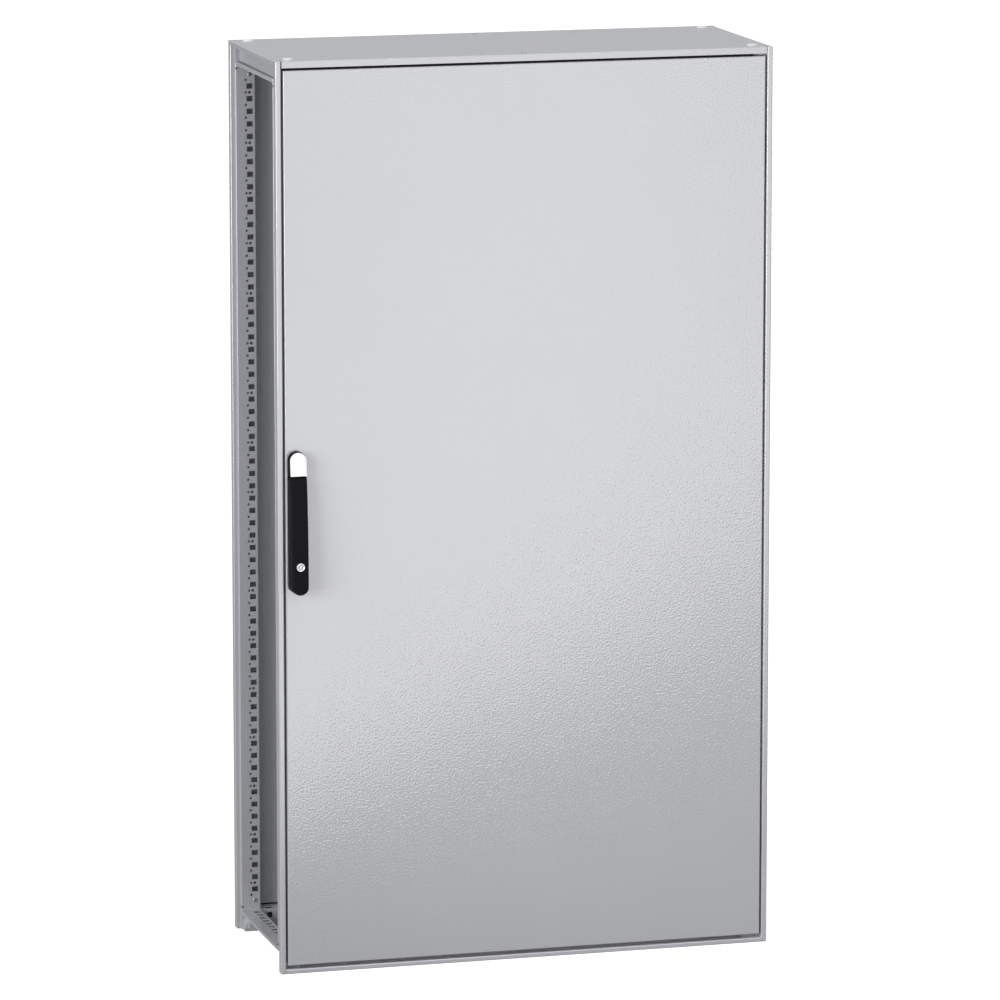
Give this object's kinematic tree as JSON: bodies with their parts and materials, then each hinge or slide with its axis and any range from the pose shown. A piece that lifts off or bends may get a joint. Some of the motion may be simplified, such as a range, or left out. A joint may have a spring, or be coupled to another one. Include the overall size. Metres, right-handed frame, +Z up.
{
  "type": "industrial switchboard cabinet",
  "caption": "Free-standing sheet-steel switchboard cabinet with open sides, a perforated frame, a hinged front door and a swing handle with a lock.",
  "frame": {"origin": "centre of the footprint on the floor, which is the centre of the floor bolt pattern", "axes": "+X to the right seen from the front, -Y is the front with the door, +Z up"},
  "size_m": [1, 0.436, 1.8025],
  "materials": {
    "paint": "fine-textured light grey powder coat",
    "zinc": "zinc plated",
    "black_plastic": "fine matt grain",
    "white_plastic": "satin",
    "foam_seal": "closed foam skin",
    "lock_metal": "satin nickel"
  },
  "bodies": {
    "frame": {"upright_front_left": "paint", "top_corner_front_left": "paint", "bottom_corner_front_left": "paint", "upright_front_right": "paint", "top_corner_front_right": "paint", "bottom_corner_front_right": "paint", "upright_rear_left": "paint", "top_corner_rear_left": "paint", "bottom_corner_rear_left": "paint", "upright_rear_right": "paint", "top_corner_rear_right": "paint", "bottom_corner_rear_right": "paint", "top_rail_front": "paint", "bottom_rail_front": "paint", "top_rail_rear": "paint", "bottom_rail_rear": "paint", "top_rail_left": "paint", "bottom_rail_left": "paint", "top_rail_right": "paint", "bottom_rail_right": "paint", "roof_panel": "paint", "roof_seal": "foam_seal", "lip_blocks": "foam_seal", "roof_corner_plugs": "white_plastic", "roof_centre_screws": "zinc", "rear_panel": "paint", "rear_panel_seal": "foam_seal", "rear_panel_screws": "zinc", "gland_plate_front": "zinc", "gland_plate_rear": "zinc", "gland_plate_screws": "zinc", "post_screws": "zinc", "hinge_frame_leaves": "zinc", "hinge_pins": "zinc", "keepers": "zinc"},
    "door": {"door_panel": "paint", "door_seal": "foam_seal", "door_stile_left": "paint", "door_stile_right": "paint", "door_crossbar_top": "paint", "door_crossbar_bottom": "paint", "hinge_door_leaves": "zinc", "escutcheon": "black_plastic", "lock_housing": "black_plastic", "lock_barrel": "lock_metal", "lock_case": "zinc", "bar_guides": "zinc"},
    "handle": {"handle_hub": "black_plastic", "handle_cap": "white_plastic", "lever_pin": "zinc", "spindle": "zinc", "crank": "zinc"},
    "lever": {"handle_lever": "black_plastic"},
    "lock_plug": {"lock_plug": "lock_metal", "lock_cam": "zinc"},
    "locking_bar": {"locking_bar": "zinc", "locking_studs": "zinc"}
  },
  "joints": [
    {"name": "door_swing", "type": "hinge", "parent": "frame", "child": "door", "pos_m": [0.475, -0.193, 0.9], "axis": [0, 0, 1], "range_deg": [0, 120]},
    {"name": "handle_turn", "type": "hinge", "parent": "door", "child": "handle", "pos_m": [-0.4635, -0.2, 1.018], "axis": [0, -1, 0], "range_deg": [0, 90]},
    {"name": "lever_lift", "type": "hinge", "parent": "handle", "child": "lever", "pos_m": [-0.4635, -0.2155, 0.988], "axis": [-1, 0, 0], "range_deg": [0, 40]},
    {"name": "lock_turn", "type": "hinge", "parent": "door", "child": "lock_plug", "pos_m": [-0.4635, -0.2, 0.819], "axis": [0, -1, 0], "range_deg": [0, 90]},
    {"name": "bar_slide", "type": "slide", "parent": "door", "child": "locking_bar", "axis": [0, 0, -1], "range_m": [0, 0.01414]}
  ],
  "couplings": [
    {"joint": "bar_slide", "follows": "handle_turn", "m_per_rad": 0.0090032}
  ]
}
